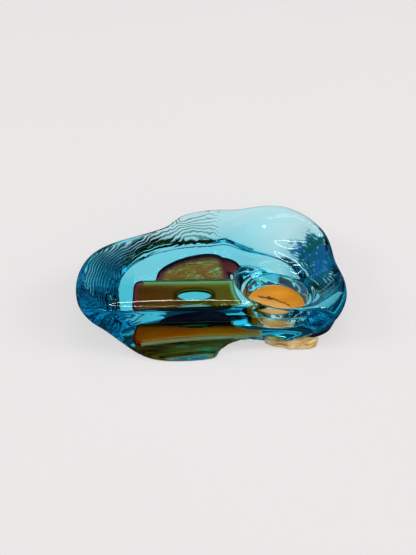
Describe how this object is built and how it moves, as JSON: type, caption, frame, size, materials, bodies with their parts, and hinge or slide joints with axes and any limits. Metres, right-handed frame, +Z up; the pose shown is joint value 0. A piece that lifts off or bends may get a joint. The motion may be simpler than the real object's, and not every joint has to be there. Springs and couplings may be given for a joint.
{
  "type": "art glass paperweight",
  "caption": "Freeform thick aqua glass pebble with a round tea-light well in a dished hollow and amber glass sheets laid in over a thinner aqua base.",
  "frame": {"origin": "middle of the bounding box, on the plane it rests on", "axes": "+X along the long side, towards the end with the well; -Y out of the straight front face; +Z up"},
  "size_m": [0.186, 0.126, 0.044],
  "materials": {
    "aqua_casing": "fire-polished, clear",
    "aqua_base": "polished underneath, chill ripples on the walls",
    "amber_bar": "silky, slightly metallic",
    "amber_mound": "silky, slightly metallic, purple edge",
    "amber_foot": "satin, ragged edge",
    "amber_well_disc": "satin"
  },
  "bodies": {
    "root": {"aqua_casing": "aqua_casing", "aqua_base": "aqua_base", "amber_bar": "amber_bar", "amber_mound": "amber_mound", "amber_foot": "amber_foot", "amber_well_disc": "amber_well_disc"}
  },
  "joints": []
}
